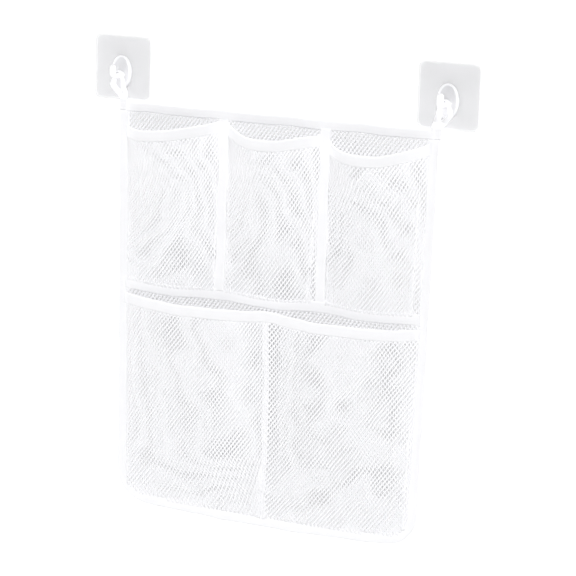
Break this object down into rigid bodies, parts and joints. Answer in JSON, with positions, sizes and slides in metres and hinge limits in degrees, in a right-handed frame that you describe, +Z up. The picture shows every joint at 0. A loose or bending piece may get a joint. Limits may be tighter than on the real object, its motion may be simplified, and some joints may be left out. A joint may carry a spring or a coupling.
{
  "type": "bath toy organizer",
  "caption": "White net wall organizer with slack pockets bound in tape, hung by tape loops on clear square adhesive hooks, for draining and storing bath toys.",
  "frame": {"origin": "on the wall plane, midway between the centres of the two adhesive hook pads", "axes": "+X to the right seen from the front, +Y into the wall, +Z up; the front of the bag faces -Y"},
  "size_m": [0.394, 0.0382, 0.445],
  "materials": {
    "adhesive": "clear sticky sheet, milky grey",
    "clear_pad": "clear sheet plastic, smooth, slightly milky",
    "clear_hook": "clear moulded plastic with bright rim",
    "white_tape": "white polyester binding tape, fine cross ribs, stitched",
    "white_net": "white polyester net with rhombic holes"
  },
  "bodies": {
    "wall_hooks": {"left_adhesive_layer": "adhesive", "right_adhesive_layer": "adhesive", "left_pad_plate": "clear_pad", "right_pad_plate": "clear_pad", "left_hook": "clear_hook", "right_hook": "clear_hook"},
    "hanging_loops": {"left_hanging_loop": "white_tape", "right_hanging_loop": "white_tape"},
    "bag": {"back_mesh_panel": "white_net", "top_binding": "white_tape", "perimeter_binding": "white_tape", "upper_left_pocket_panel": "white_net", "upper_middle_pocket_panel": "white_net", "upper_right_pocket_panel": "white_net", "upper_left_mouth_binding": "white_tape", "upper_middle_mouth_binding": "white_tape", "upper_right_mouth_binding": "white_tape", "left_divider_tape": "white_tape", "right_divider_tape": "white_tape", "upper_pocket_base_tape": "white_tape", "lower_left_pocket_panel": "white_net", "lower_right_pocket_panel": "white_net", "lower_mouth_binding": "white_tape", "centre_seam_tape": "white_tape"}
  },
  "joints": [
    {"name": "loops_lift", "type": "slide", "parent": "wall_hooks", "child": "hanging_loops", "axis": [0, 0, 1], "range_m": [0, 0.008]},
    {"name": "bag_swing", "type": "hinge", "parent": "hanging_loops", "child": "bag", "pos_m": [0, -0.0095, -0.0315], "axis": [-1, 0, 0], "range_deg": [0, 60]}
  ]
}
